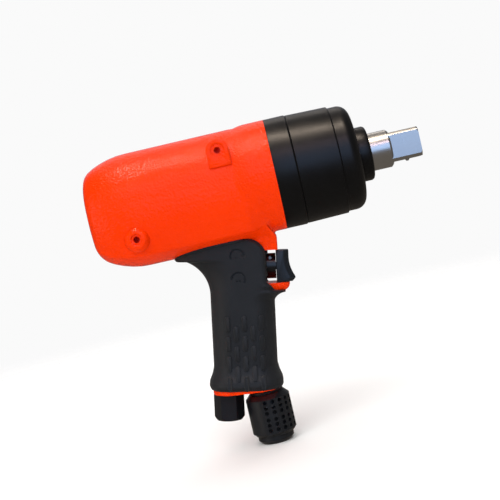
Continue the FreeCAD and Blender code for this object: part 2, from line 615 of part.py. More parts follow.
def air_motor():
    """End plates, cylinder with its off-centre bore, rotor, vanes, dowel and disc spring."""
    front_seat = "plate_front - bearing_inset"
    piece(turned("front_end_plate",
                 [("cylinder_front", "shaft_hole"), (f"{front_seat} - bearing_width", "shaft_hole"),
                  (f"{front_seat} - bearing_width", "bearing"), ("plate_front", "bearing"),
                  ("plate_front", "motor"), ("cylinder_front", "motor")]))
    rear_seat = "plate_rear + bearing_inset"
    piece(turned("rear_end_plate",
                 [("plate_rear", "bearing"), (f"{rear_seat} + bearing_width", "bearing"),
                  (f"{rear_seat} + bearing_width", "shaft_hole"), ("cylinder_rear", "shaft_hole"),
                  ("cylinder_rear", "motor"), ("plate_rear", "motor")]))
    bearing("front", f"{front_seat} - bearing_width")
    bearing("rear", rear_seat)
    bore = rod("cylinder_hole", "cylinder_bore", "80",
               moved(SPINDLE, "cylinder_rear - 10", "0", "cylinder_lift"))
    dowel_hole = rod("dowel_hole", "dowel", "80",
                     moved(SPINDLE, "cylinder_rear - 10", "0", "dowel_lift"))
    ports = [rod(f"port_{number}", "port", "20",
                 moved(SPINDLE, f"cylinder_rear + {12 + 8 * number}", "0", "-15",
                       Rotation(Vector(0, 1, 0), 90))) for number in range(5)]
    blank = drum("cylinder_blank", "cylinder_rear", "cylinder_front", "motor")
    piece(cut("motor_cylinder", blank, bore, dowel_hole, *ports))
    piece(rod("cylinder_dowel", "dowel - 0.02", "cylinder_front - cylinder_rear",
              moved(SPINDLE, "cylinder_rear", "0", "dowel_lift")))
    piece(turned("disc_spring", [("bore_rear", "24"), ("bore_rear + 0.7", "24"),
                                 ("plate_rear", "29"), ("plate_rear - 0.7", "29")]))
    body = turned("rotor_blank",
                  [(rear_seat, "0"), (rear_seat, "shaft"), ("cylinder_rear + rotor_play", "shaft"),
                   ("cylinder_rear + rotor_play", "rotor"), ("cylinder_front - rotor_play", "rotor"),
                   ("cylinder_front - rotor_play", "shaft"), ("hex_rear", "shaft"), ("hex_rear", "0")])
    drive = hexagon("rotor_hexagon", "hex_corner", "hex_front - hex_rear + 1",
                    moved(SPINDLE, "hex_rear - 1"))
    pilot_hole = rod("rotor_pilot_hole", "pilot + running", "30", moved(SPINDLE, "pilot_rear - 0.5"))
    slots = []
    vanes = []
    count = int(size("vanes"))
    for number in range(count):
        spin = Placement(Vector(), Rotation(Vector(1, 0, 0), 360 / count * number))
        slots.append(block(f"slot_{number}", ("cylinder_rear", "-slot_width / 2", "slot_floor"),
                           ("cylinder_front", "slot_width / 2", "rotor + 2"), spin))
        vanes.append(block(f"vane_{number}",
                           ("cylinder_rear + rotor_play", "-vane_width / 2", "vane_floor"),
                           ("cylinder_front - rotor_play", "vane_width / 2", "vane_tip"), spin))
    piece(cut("rotor", fused("rotor_whole", body, drive), pilot_hole, *slots))
    piece(group("rotor_vanes", *vanes))


# ---------------------------------------------------------------- throttle and trigger

def throttle():
    """Reverse valve in its bushing, the collar that turns it, the stem, seat, valve and spring."""
    piece(ring("reverse_bushing", "sleeve_rear", "face_u", "sleeve_bore", "throttle_bore", THROTTLE))
    piece(ring("throttle_seat", "seat_rear", "sleeve_rear", "seat_bore", "throttle_bore", THROTTLE))
    spool = turned("spool_blank",
                   [("spool_rear", "stem_hole"), ("spool_front", "stem_hole"), ("spool_front", "spool"),
                    ("12", "spool"), ("12", "5.4"), ("1", "5.4"), ("1", "spool"),
                    ("spool_rear", "spool")], THROTTLE)
    web = common("spool_web", ring("spool_tube", "1", "12", "stem_hole", "spool", THROTTLE),
                 block("spool_half", ("1", "-8", "-8"), ("12", "8", "1.5"), THROTTLE))
    piece(fused("reverse_valve", spool, web))
    disc = ring("collar_disc", "spool_front", "collar_front", "stem_hole", "collar", THROTTLE)
    hub = ring("collar_hub", "collar_front", "hub_front", "stem_hole", "hub", THROTTLE)
    tab = block("collar_tab", ("spool_front", "-tab_half", "collar - 2"),
                ("collar_front", "tab_half", "tab"), THROTTLE)
    pin_place = moved(THROTTLE, "collar_front + pin_setback", "0", "hub - pin_drop", SIDEWAYS)
    pin_hole = rod("lever_pin_hole", "lever_pin", "2 * hub", moved(pin_place, "-hub"))
    piece(cut("reverse_collar", fused("collar_whole", disc, hub, tab), pin_hole))
    piece(rod("collar_pin", "lever_pin", "2 * pin_reach", moved(pin_place, "-pin_reach")))
    valve_front = "seat_rear - valve_play"
    piece(drum("throttle_valve", f"{valve_front} - valve_length", valve_front, "valve", THROTTLE))
    piece(coil("throttle_spring", "spring_coil", "spring_wire / 2",
               f"{valve_front} - valve_length - throttle_floor - 2 * spring_wire", "spring_turns",
               moved(THROTTLE, "throttle_floor + spring_wire")))
    piece(rod("trigger_stem", "stem", f"trigger_hollow - ({valve_front}) - 0.1",
              moved(THROTTLE, f"{valve_front} + 0.1")))


def trigger():
    """Trigger: a hollow-backed finger piece with a concave front and a lip at its foot."""
    shell = plate("trigger_blank", "XZ_Plane",
                  [("trigger_back", "trigger_foot"), ("trigger_toe_u", "trigger_foot"),
                   ("trigger_lip_u", "trigger_lip_v", "-trigger_curve"),
                   ("trigger_top_u", "trigger_head - trigger_bevel"),
                   ("trigger_top_u - trigger_bevel", "trigger_head"), ("trigger_back", "trigger_head")],
                  "2 * trigger_y", HANDLE, midplane=True)
    hollow = block("trigger_hollow_form",
                   ("trigger_back - 1", "trigger_wall - trigger_y", "trigger_foot + trigger_wall"),
                   ("trigger_hollow", "trigger_y - trigger_wall", "trigger_head - trigger_wall"), HANDLE)
    piece(cut("trigger", shell, hollow))


# ---------------------------------------------------------------- air inlet and exhaust

def air_inlet():
    """Hexagonal inlet bushing with a tapped bore, its seal ring and its screen."""
    nut = hexagon("inlet_hexagon", "hex_flat / sqrt(3)", "inlet_collar - inlet_foot",
                  moved(INLET, "inlet_foot"))
    envelope = turned("inlet_envelope",
                      [("inlet_foot", "0"), ("inlet_foot", "hex_flat / 2 - 0.3"),
                       ("inlet_foot + hex_bevel", "hex_flat / sqrt(3)"),
                       ("inlet_collar", "hex_flat / sqrt(3)"), ("inlet_collar", "0")], INLET)
    shank = drum("inlet_shank_form", "inlet_collar - 1", "screen_top", "inlet_shank", INLET)
    thread = turned("inlet_bore_form",
                    [("inlet_foot - 1", "0"), ("inlet_foot - 1", "inlet_thread"),
                     ("inlet_collar", "inlet_thread"), ("inlet_collar + 2", "passage"),
                     ("screen_foot", "passage"), ("screen_foot", "passage + 0.5"),
                     ("screen_top + 1", "passage + 0.5"), ("screen_top + 1", "0")], INLET)
    piece(cut("inlet_bushing", fused("inlet_whole", common("inlet_nut", nut, envelope), shank), thread))
    piece(turned("inlet_screen",
                 [("screen_foot", "0"), ("screen_foot + 0.6", "0"), ("screen_foot + 0.6", "passage - 0.1"),
                  ("screen_top", "passage - 0.1"), ("screen_top", "passage + 0.5"),
                  ("screen_foot", "passage + 0.5")], INLET))
    piece(ring("inlet_seal_ring", "inlet_collar", "inlet_collar + inlet_ring_thick", "inlet_shank",
               "inlet_ring", INLET))


def exhaust():
    """Exhaust adaptor in the handle's foot, the felt above it, and the lined, swivelling deflector."""
    piece(turned("exhaust_adaptor",
                 [("stub_top", "stub_bore"), ("stub_top", "stub"), ("collar_top", "stub"),
                  ("collar_top", "swivel_collar"), ("collar_foot", "swivel_collar"),
                  ("collar_foot", "neck"), ("snap_top", "neck"), ("snap_top", "neck - 1"),
                  ("snap_foot", "neck - 1"), ("snap_foot", "neck"), ("neck_foot", "neck"),
                  ("neck_foot", "stub_bore")], SWIVEL))
    piece(ring("deflector_snap_ring", "snap_foot + 0.05", "snap_top - 0.05", "neck - 1", "snap_ring",
               SWIVEL))
    piece(rod("exhaust_felt", "felt", "42", moved(HANDLE, "8.5", "0", "-19", UPWARDS)))
    sleeve = turned("deflector_blank",
                    [("deflector_top", "neck + running"), ("deflector_top", "deflector_brow"),
                     ("deflector_shoulder", "deflector"), ("deflector_foot", "deflector"),
                     ("cap_top", "cap + 0.6"), ("cap_top", "cap - 1.2"),
                     ("deflector_foot", "deflector - deflector_wall"),
                     ("swivel_depth", "deflector - deflector_wall"), ("swivel_depth", "neck + running")],
                    SWIVEL)
    vents = []
    rows = int(size("vent_rows"))
    for row in range(rows):
        lift = f"vent_first - {row} * vent_pitch - {int(row >= rows / 2)} * vent_break"
        for column in range(int(size("vent_columns"))):
            heading = size(f"vent_start + {column} * vent_step")
            place = Placement(Vector(size("deflector_x"), 0, size(lift)),
                              Rotation(Vector(0, 0, 1), heading))
            vents.append(rod(f"vent_{row}_{column}", "vent", "deflector + 2", place))
    piece(cut("exhaust_deflector", sleeve, *vents))
    piece(ring("silencer_liner", "deflector_foot + liner_play", "snap_foot - 6 * liner_play",
               "deflector - deflector_wall - liner_thick", "deflector - deflector_wall", SWIVEL))
    piece(turned("deflector_cap",
                 [("cap_foot", "0"), ("cap_foot", "cap - cap_bevel"), ("cap_foot + cap_bevel", "cap"),
                  ("cap_top", "cap"), ("cap_top", "cap - 1.2"), ("deflector_foot", "cap - 1.2"),
                  ("deflector_foot", "cap - 3"), ("cap_foot + 2", "cap - 3"), ("cap_foot + 2", "0")],
                 SWIVEL))


# ---------------------------------------------------------------- build, check and write

motor_housing()
handle_grip()
front_end()
anvil()
hammer_mechanism()
air_motor()
throttle()
trigger()
air_inlet()
exhaust()
document.recompute()

faults = [item.Label for item in document.Objects if {"Invalid", "Error"} & set(item.State)]
for label, item in pieces.items():
    shape = item.Shape
    if shape.isNull() or not shape.isValid() or not shape.Solids:
        faults.append(label)
if faults:
    raise RuntimeError("faulty: " + ", ".join(faults))

os.makedirs("parts", exist_ok=True)
for label, item in pieces.items():
    item.Shape.exportStep(f"parts/{label}.step")
    print(f"{label}: {len(item.Shape.Solids)} solids, {item.Shape.Volume:.0f} mm3")
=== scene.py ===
import json
import math

import bmesh
import bpy
from mathutils import Matrix, Vector
from mathutils.bvhtree import BVHTree


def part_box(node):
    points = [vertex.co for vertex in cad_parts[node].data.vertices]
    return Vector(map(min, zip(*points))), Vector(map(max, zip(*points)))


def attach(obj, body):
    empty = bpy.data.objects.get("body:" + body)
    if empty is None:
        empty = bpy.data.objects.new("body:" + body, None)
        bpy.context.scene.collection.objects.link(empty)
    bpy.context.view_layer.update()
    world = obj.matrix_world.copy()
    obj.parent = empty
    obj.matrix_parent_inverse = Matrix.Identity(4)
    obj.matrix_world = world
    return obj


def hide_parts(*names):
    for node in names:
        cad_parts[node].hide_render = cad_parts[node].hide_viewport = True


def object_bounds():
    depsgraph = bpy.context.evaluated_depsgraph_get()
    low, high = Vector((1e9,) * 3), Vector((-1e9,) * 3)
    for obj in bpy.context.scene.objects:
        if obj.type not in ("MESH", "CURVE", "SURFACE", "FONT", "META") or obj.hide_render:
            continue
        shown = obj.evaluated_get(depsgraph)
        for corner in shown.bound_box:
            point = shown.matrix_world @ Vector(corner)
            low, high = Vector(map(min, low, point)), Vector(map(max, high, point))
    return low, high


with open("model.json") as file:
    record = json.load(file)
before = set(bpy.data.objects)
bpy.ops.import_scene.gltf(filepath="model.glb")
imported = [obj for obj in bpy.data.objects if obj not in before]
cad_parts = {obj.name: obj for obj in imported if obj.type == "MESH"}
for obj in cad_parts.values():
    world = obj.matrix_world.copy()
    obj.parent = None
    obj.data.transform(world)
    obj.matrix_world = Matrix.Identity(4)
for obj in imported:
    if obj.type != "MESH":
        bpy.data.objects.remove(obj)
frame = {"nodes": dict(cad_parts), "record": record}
cad_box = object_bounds()


# ---------------------------------------------------------------- motor housing
# One aluminium casting holds the barrel, the front flange, the handle's core, the nose over the
# trigger and the shelf below it. It is blasted, powder coated orange with a leathery peel, and
# its front, bores and tapped bosses are machined after casting.

MM = 0.001
ring_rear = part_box("clamp_ring")[0].x / MM
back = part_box("motor_housing")[0].x / MM
HANDLE = Matrix.Translation((-140.3, 0, -100)) @ Matrix.Rotation(math.radians(10.2), 4, "Y")


def arc(start, end, radius, step):
    """Points after start on the arc to end. A positive radius bulges to the right of travel."""
    start, end = Vector(start), Vector(end)
    chord = end - start
    turn = 2 * math.asin(min(1, chord.length / 2 / abs(radius)))
    right = Vector((chord.y, -chord.x)).normalized()
    height = math.sqrt(max(0, radius ** 2 - chord.length_squared / 4))
    centre = (start + end) / 2 - right * math.copysign(height, radius)
    count = max(2, math.ceil(abs(radius) * turn / step))
    turn = math.copysign(turn, radius)
    return [centre + Matrix.Rotation(turn * i / count, 2) @ (start - centre)
            for i in range(1, count + 1)]


def outline(*corners, step=1.0):
    """A closed outline. A corner's third number is the radius of the arc that reaches it."""
    points = []
    for before, corner in zip((corners[-1], *corners), corners):
        if len(corner) == 3:
            points += arc(before[:2], corner[:2], corner[2], step)
        else:
            points.append(Vector(corner))
    return points


def rounded(half_x, half_y, corner, count=12):
    """A rectangle with round corners, always with the same number of points."""
    quarter = [i / count * math.pi / 2 for i in range(count + 1)]
    middles = [(1, 1), (-1, 1), (-1, -1), (1, -1)]
    return [Vector((sx * (half_x - corner) + corner * math.cos(angle + side * math.pi / 2),
                    sy * (half_y - corner) + corner * math.sin(angle + side * math.pi / 2)))
            for side, (sx, sy) in enumerate(middles) for angle in quarter]


def build(name, points, faces, place=Matrix()):
    """A mesh piece from points in millimetres."""
    mesh = bpy.data.meshes.new(name)
    mesh.from_pydata([MM * (place @ Vector(p)) for p in points], [], faces)
    form = bmesh.new()
    form.from_mesh(mesh)
    bmesh.ops.remove_doubles(form, verts=form.verts, dist=1e-7)
    bmesh.ops.recalc_face_normals(form, faces=form.faces)
    form.to_mesh(mesh)
    form.free()
    piece = bpy.data.objects.new(name, mesh)
    bpy.context.scene.collection.objects.link(piece)
    return piece


def skin(name, rings, place=Matrix()):
    """A closed solid skinned over rings of points that match one to one."""
    n = len(rings[0])
    faces = [tuple(range(n)), tuple(reversed(range((len(rings) - 1) * n, len(rings) * n)))]
    for r in range(len(rings) - 1):
        for i in range(n):
            j = (i + 1) % n
            faces.append((r * n + i, r * n + j, (r + 1) * n + j, (r + 1) * n + i))
    return build(name, [p for ring in rings for p in ring], faces, place)


def plate(name, shape, near, far, place=Matrix()):
    """An outline in X and Z given thickness across Y."""
    return skin(name, [[(p[0], y, p[1]) for p in shape] for y in (near, far)], place)


def lathe(name, profile, place=Matrix(), segments=128):
    """A turned solid: profile holds (along, radius) and is spun about X."""
    n = len(profile)
    points, faces = [], []
    for k in range(segments):
        angle = 2 * math.pi * k / segments
        points += [(p[0], p[1] * math.cos(angle), p[1] * math.sin(angle)) for p in profile]
        after = (k + 1) % segments * n
        for i in range(n):
            j = (i + 1) % n
            if profile[i][1] > 0 or profile[j][1] > 0:
                faces.append((k * n + i, k * n + j, after + j, after + i))
    return build(name, points, faces, place)


def settle(piece, kind, **settings):
    """Adds a modifier and makes its result, without faces of no area, the piece's own mesh."""
    modifier = piece.modifiers.new(kind, kind)
    for key, value in settings.items():
        setattr(modifier, key, value)
    graph = bpy.context.evaluated_depsgraph_get()
    mesh = bpy.data.meshes.new_from_object(piece.evaluated_get(graph))
    mesh.validate()
    piece.modifiers.clear()
    piece.data = mesh


def joined(name, *pieces):
    """One object that holds the meshes of several."""
    form = bmesh.new()
    for piece in pieces:
        form.from_mesh(piece.data)
        bpy.data.objects.remove(piece)
    mesh = bpy.data.meshes.new(name)
    form.to_mesh(mesh)
    form.free()
    piece = bpy.data.objects.new(name, mesh)
    bpy.context.scene.collection.objects.link(piece)
    return piece


def combine(piece, operation, *tools):
    """Cuts, joins or trims a piece with solid tools, which are used up."""
    for tool in tools:
        settle(piece, "BOOLEAN", operation=operation, object=tool, solver="EXACT")
        bpy.data.objects.remove(tool)


def smooth(piece, edge):
    """Smooth shading, with an edge kept sharp where faces meet at more than that many degrees."""
    piece.data.shade_smooth()
    piece.data.set_sharp_from_angle(angle=math.radians(edge))


def cast(name, voxel, passes, *forms):
    """Fuses rough forms into one skin and rounds its edges, as a casting or a moulding has them."""
    piece = joined(name, *forms)
    settle(piece, "REMESH", mode="VOXEL", voxel_size=voxel * MM, adaptivity=0)
    settle(piece, "SMOOTH", factor=0.5, iterations=passes)
    return piece


barrel_outline = outline((33.5, 2.3, 33.5), (0, 35.8, 33.5), (-33.5, 2.3, 33.5),
                         (-27.5, -32.5, 60), (0, -39.9, 60), (27.5, -32.5, 60))
barrel_stations = [(-104, 0.85), (-119, 1), (-190, 1), (-196, 0.993), (-202, 0.965), (-208, 0.918),
                   (-213, 0.865), (-217, 0.805), (-219.6, 0.735), (back, 0.65)]
barrel = skin("barrel", [[(x, p.x * size, p.y * size) for p in barrel_outline]
                         for x, size in barrel_stations])
flange = lathe("flange", [(-90, 0), (-90, 36.7), (-110, 36.7), (-113, 36.5), (-117, 35.7),
                          (-121, 34.4), (-126, 31), (-126, 0)])


def base_at(u):
    """Height of the handle's foot, which is cut a little off square."""
    return -35.7 + u * 3.2 / 44.6


core = skin("core", [[(p.x, p.y, v) for p in rounded(18.2, 16, 12)] for v in (72, -17)]
            + [[(p.x, p.y, -30) for p in rounded(22.3, 20, 15)]]
            + [[(p.x, p.y, base_at(p.x)) for p in rounded(22.3, 20, 15)]], HANDLE)
nose_levels = ((56.2, 2, 24.6, 15.4, 0), (60, 2, 24.6, 15.8, 0.08), (66, 1, 24.4, 18.8, 0.2),
               (70, -2, 21, 23, 0.3), (77, -6, 15.4, 27.4, 0.3))
nose = skin("nose", [[(p.x + (front + rear) / 2, p.y * (1 - waist * (front - rear - 2 * p.x)
                                                        / (front - rear) / 2), v)
                      for p in rounded((front - rear) / 2, half, 1.5)]
                     for v, rear, front, half, waist in nose_levels], HANDLE)
shelf = skin("shelf", [[(p.x + reach / 2, p.y, v) for p in rounded(reach / 2, half, 7)]
                       for v, reach, half in ((36.2, 31.9, 12), (33, 31.6, 11.8), (31, 30.4, 11.4),
                                              (29.2, 27.6, 10.8))], HANDLE)
housing = cast("motor_housing_casting", 0.8, 7, barrel, flange, core, nose, shelf)


def across(x, z, side):
    """Places a turned form square to the flank, with its axis pointing outwards."""
    return Matrix.Translation((x, 0, z)) @ Matrix.Rotation(side * math.pi / 2, 4, "Z")


rear_boss, front_boss = (-191.2, -21.5), (-129.1, 21.8)
boss_top, arch_top, arch_radius = 35.2, 34.0, 7.3
for side in (-1, 1):
    boss = lathe("boss", [(24, 0), (24, 8.3), (31.8, 8.3), (boss_top, 5.9), (boss_top, 0)],
                 across(*rear_boss, side), 64)
    settle(boss, "BEVEL", width=1.3 * MM, segments=4, limit_method="ANGLE")
    x, z = front_boss
    arch_shape = outline((x - arch_radius, 11.3), (x + arch_radius, 11.3), (x + arch_radius, z),
                         (x, z + arch_radius, arch_radius), (x - arch_radius, z, arch_radius), step=0.6)
    arch = plate("arch", arch_shape, side * 20, side * arch_top)
    settle(arch, "BEVEL", width=0.9 * MM, segments=3, limit_method="ANGLE")
    combine(housing, "UNION", boss, arch)
    holes = [lathe("hole", [(26, 0), (26, 2.1), (top - 1, 2.1), (top - 1, wide),
                            (top - 0.5, wide), (top - 0.15, wide + 0.15), (top, wide + 0.5),
                            (top + 2, wide + 2.5), (top + 2, 0)], across(x, z, side), 64)
             for (x, z), top, wide in ((rear_boss, boss_top, 3.35), (front_boss, arch_top, 4.15))]
    combine(housing, "DIFFERENCE", *holes)

bay = plate("bay", [(15.5, 35.2), (50, 35.2), (50, 57), (15.5, 57)], -30, 30, HANDLE)
face = plate("face", [(ring_rear, -60), (-60, -60), (-60, 60), (ring_rear, 60)], -60, 60)
bore = lathe("bore", [(-213, 0), (-213, 20), (-202, 20), (-202, 30), (-102, 30), (-102, 33),
                      (-90, 33), (-90, 0)])
UP = Matrix.Rotation(-math.pi / 2, 4, "Y")
throttle_way = lathe("throttle_way", [(-16, 0), (-16, 6.6), (-6.4, 6.6), (-6.4, 9.4), (40, 9.4),
                                      (40, 0)], HANDLE @ Matrix.Translation((0, 0, 46)), 64)
inlet_way = lathe("inlet_way", [(-50, 0), (-50, 6.6), (-24, 6.6), (-24, 0)],
                  HANDLE @ Matrix.Translation((-12.5, 0, 0)) @ UP, 64)
exhaust_way = lathe("exhaust_way", [(-150, 0), (-150, 7.5), (-121.5, 7.5), (-121.5, 0)],
                    Matrix.Translation((-134.7, 0, 0)) @ UP, 64)
casting_skin = BVHTree.FromObject(housing, bpy.context.evaluated_depsgraph_get())
grip_core = joined("grip_core", housing.copy())
combine(housing, "DIFFERENCE", bay, face, bore, throttle_way, inlet_way, exhaust_way)
smooth(housing, 40)
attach(housing, "housing")
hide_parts("motor_housing")


def linear(colour):
    """An sRGB hex colour as linear numbers."""
    parts = [int(colour[i:i + 2], 16) / 255 for i in (1, 3, 5)]
    return (*[c / 12.92 if c <= 0.04045 else ((c + 0.055) / 1.055) ** 2.4 for c in parts], 1)


def add(tree, kind, inputs, **settings):
    """Adds a node with its settings, and fills or links its inputs."""
    made = tree.nodes.new(kind)
    for key, value in settings.items():
        setattr(made, key, value)
    for socket, value in inputs.items():
        if isinstance(value, bpy.types.NodeSocket):
            tree.links.new(value, made.inputs[socket])
        else:
            made.inputs[socket].default_value = value
    return made


def new_material(name):
    """An empty material, its node tree, its output and the piece's own coordinates in metres."""
    material = bpy.data.materials.new(name)
    material.use_nodes = True
    tree = material.node_tree
    tree.nodes.clear()
    output = tree.nodes.new("ShaderNodeOutputMaterial")
    place = tree.nodes.new("ShaderNodeTexCoord").outputs["Object"]
    return material, tree, output, place


def finish(piece, material):
    """Gives a whole piece one material."""
    piece.data.materials.clear()
    piece.data.materials.append(material)


# Powder coat over a blasted casting: a glossy film whose peel is close-set soft dimples about a
# millimetre across, which breaks each reflection into bright grains.
orange_coat, tree, output, place = new_material("orange_powder_coat")
peel = add(tree, "ShaderNodeTexNoise", {"Vector": place, "Scale": 1 / (1.7 * MM), "Detail": 2.0,
                                        "Roughness": 0.5})
dimples = add(tree, "ShaderNodeTexVoronoi", {"Vector": place, "Scale": 1 / (1.3 * MM),
                                             "Smoothness": 0.6}, feature="SMOOTH_F1")
relief = add(tree, "ShaderNodeMath", {0: peel.outputs["Fac"], 1: dimples.outputs["Distance"]},
             operation="ADD")
grain = add(tree, "ShaderNodeBump", {"Strength": 1.0, "Distance": 0.3 * MM,
                                     "Height": relief.outputs["Value"]})
drift = add(tree, "ShaderNodeTexNoise", {"Vector": place, "Scale": 1 / (40 * MM), "Detail": 1.0})
tint = add(tree, "ShaderNodeMix", {"Factor": drift.outputs["Fac"], 6: linear("#F23401"),
                                   7: linear("#FB3C01")}, data_type="RGBA")
paint = add(tree, "ShaderNodeBsdfPrincipled", {"Base Color": tint.outputs[2], "Roughness": 0.14,
                                               "Specular IOR Level": 0.16,
                                               "Normal": grain.outputs["Normal"]})
tree.links.new(paint.outputs["BSDF"], output.inputs["Surface"])
finish(housing, orange_coat)


# ---------------------------------------------------------------- handle grip
# One sleeve of black thermoplastic rubber, moulded over the handle's core. It has a raised lip
# along its top edge, staggered raised pads for the palm, and two sunk arrows for the direction.

sleeve_half = 19
grip_stations = [(34, 21.2, 19, 14.5), (-18.5, 21.2, 19, 14.5), (-23.5, 22.4, 20.2, 15.2),
                 (-27.5, 24.2, 22.1, 16.6), (-31, 24.6, 22.5, 17), (-33.7, 23.4, 21.3, 16)]
sleeve_front = [Vector((21.2, 24)), *arc((21.2, 24), (28.9, 29), -9, 1), Vector((28.6, 30.2)),
                Vector((21, 30.9)), *arc((21, 30.9), (16.8, 35.2), 6, 1), Vector((16.2, 52)),
                *arc((16.2, 52), (2.3, 63.9), 11.2, 1), Vector((2.3, 67))]
sleeve_rear = [Vector((-21.2, 24)), *arc((-21.2, 28), (-35.9, 51.3), 24, 1), Vector((-42.8, 51.6)),
               Vector((-42.8, 67))]
corner_rounds = [Vector(c) for c in ((24, 14.5, 14.5), (29, 17, 10.5), (31, 12, 7), (34, 4, 2),
                                     (67, 4, 2))]
beak_rounds = [Vector(c) for c in ((24, 14.5, 14.5), (30, 14.5, 14.5), (50, 26, 12), (67, 26, 12))]


def along(stations, at, axis):
    """What a list of stations gives at a place between two of them."""
    for before, after in zip(stations, stations[1:]):
        if at <= after[axis]:
            break
    return before.lerp(after, (at - before[axis]) / max(1e-6, after[axis] - before[axis]))


def sleeve_ring(v, rear, front, half_y, rear_round, front_round):
    """One level of the sleeve: a section with long soft corners, different front and rear."""
    ring, count = [], 12
    for side_u, side_y in ((1, 1), (-1, 1), (-1, -1), (1, -1)):
        length, height = front_round if side_u > 0 else rear_round
        edge = front if side_u > 0 else rear
        turns = range(count + 1) if side_u * side_y > 0 else range(count, -1, -1)
        for angle in (math.pi / 2 * i / count for i in turns):
            ring.append((edge - side_u * length * (1 - math.cos(angle)),
                         side_y * (half_y - height * (1 - math.sin(angle))), v))
    return ring


sleeve_rings = [sleeve_ring(v, -half_u, half_u, half_y, (corner, corner), (corner, corner))
                for v, half_u, half_y, corner in reversed(grip_stations[1:])]
for v in sorted({round(p.y, 3) for p in sleeve_front + sleeve_rear}):
    sleeve_rings.append(sleeve_ring(v, along(sleeve_rear, v, 1).x, along(sleeve_front, v, 1).x,
                                    sleeve_half, along(beak_rounds, v, 0).yz,
                                    along(corner_rounds, v, 0).yz))
grip = cast("handle_grip_sleeve", 0.7, 4, skin("sleeve", sleeve_rings, HANDLE))


def sleeve_half_width(u, v):
    """Half the sleeve's width across Y at a place on its side."""
    for above, below in zip(grip_stations, grip_stations[1:]):
        if v >= below[0]:
            break
    share = min(1, max(0, (above[0] - v) / (above[0] - below[0])))
    half_u, half_y, corner = [a + share * (b - a) for a, b in zip(above[1:], below[1:])]
    past = max(0, abs(u) - (half_u - corner))
    return half_y - corner + math.sqrt(corner ** 2 - past ** 2)


# The lip follows the edge of the rubber where it meets the casting above the trigger's foot.
top_lip, lip_width, lip_from = 0.7, 1.6, 40
for vertex in grip.data.vertices:
    reach = casting_skin.find_nearest(vertex.co)
    inside = (vertex.co - reach[0]).dot(reach[1]) < 0
    gap = 0 if inside else reach[3] / MM
    if gap < lip_width and (HANDLE.inverted() @ (vertex.co / MM)).z > lip_from:
        vertex.co += vertex.normal * top_lip * MM * min(1, 2 * (lip_width - gap))
combine(grip, "DIFFERENCE", grip_core)

pad_length, pad_width, pad_height, column_step, pad_step = 9.9, 3.3, 1.0, 5.5, 12.95
pads = []
for side in (-1, 1):
    for column in range(5):
        u = 0.7 + (column - 2) * column_step
        rows = 4 - column % 2
        for row in range(rows):
            v = -9.15 + ((rows - 1) / 2 - row) * pad_step
            rings = []
            for lift, inset in ((-1.2, 0), (0.5, 0), (0.85, 0.12), (pad_height, 0.4)):
                half = Vector((pad_width / 2 - inset, pad_length / 2 - inset))
                rings.append([(u + p.x, side * (sleeve_half_width(u + p.x, v + p.y) + lift), v + p.y)
                              for p in rounded(half.x, half.y, half.x - 0.02, 6)])
            pads.append(skin("pad", rings, HANDLE))
combine(grip, "UNION", joined("pads", *pads))

mark_radius, mark_line = 4.3, 1.15
mark_floor, mark_top = sleeve_half - 1.0, sleeve_half + 1.5
mark_section = [(mark_radius - mark_line / 2, mark_floor), (mark_radius + mark_line / 2, mark_floor),
                (mark_radius + mark_line / 2, mark_top), (mark_radius - mark_line / 2, mark_top)]
sweeps, arrows = [], []
for side in (-1, 1):
    for u, v, first, last, tip in ((-1.8, 54.2, 205, 5, 1), (-1.6, 39.2, 160, -35, -1)):
        start, end = math.radians(first), math.radians(last)
        rings = []
        for i in range(25):
            angle = start + (end - start) * i / 24
            rings.append([(u + r * math.cos(angle), side * y, v + r * math.sin(angle))
                          for r, y in mark_section])
        sweeps.append(skin("sweep", rings, HANDLE))
        head_angle = end if tip > 0 else start
        tip_at = Vector((u + mark_radius * math.cos(head_angle), v + mark_radius * math.sin(head_angle)))
        heading = Vector((math.sin(head_angle), -math.cos(head_angle))) * tip
        out = Vector((heading.y, -heading.x))
        head = [tip_at + heading * 2.2, tip_at - out * 1.3, tip_at + out * 1.3]
        arrows.append(plate("arrow", head, side * mark_floor, side * mark_top, HANDLE))
        for dot in range(1 if tip > 0 else 2):
            sweeps.append(lathe("dot", [(mark_floor, 0), (mark_floor, 0.55), (mark_top, 0.55),
                                       (mark_top, 0)],
                               HANDLE @ across(u + 0.9 * (2 * dot - tip % 2), v - 1.2, side), 24))
combine(grip, "DIFFERENCE", joined("sweeps", *sweeps), joined("arrows", *arrows))
smooth(grip, 32)
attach(grip, "housing")
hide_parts("handle_grip")

# Thermoplastic rubber from a spark-eroded mould: matt, with a fine even grain and a faint bloom
# that lightens the surface where it turns away.
rubber, tree, output, place = new_material("moulded_grip_rubber")
bloom = add(tree, "ShaderNodeTexNoise", {"Vector": place, "Scale": 1 / (14 * MM), "Detail": 3.0})
tint = add(tree, "ShaderNodeMix", {"Factor": bloom.outputs["Fac"], 6: linear("#15171A"),
                                   7: linear("#1B1E22")}, data_type="RGBA")
spark = add(tree, "ShaderNodeTexNoise", {"Vector": place, "Scale": 1 / (0.55 * MM), "Detail": 2.0})
texture = add(tree, "ShaderNodeBump", {"Strength": 0.35, "Distance": 0.06 * MM,
                                       "Height": spark.outputs["Fac"]})
skin_rough = add(tree, "ShaderNodeMapRange", {"Value": bloom.outputs["Fac"], 3: 0.52, 4: 0.64})
matt = add(tree, "ShaderNodeBsdfPrincipled", {"Base Color": tint.outputs[2],
                                              "Roughness": skin_rough.outputs["Result"],
                                              "Specular IOR Level": 0.35,
                                              "Sheen Weight": 0.05, "Sheen Roughness": 0.5,
                                              "Normal": texture.outputs["Normal"]})
tree.links.new(matt.outputs["BSDF"], output.inputs["Surface"])
finish(grip, rubber)


# ---------------------------------------------------------------- trigger
# A hollow nylon paddle on the throttle's stem. Its front is dished for the finger, with broad
# bevels down both sides and a lip at the foot.

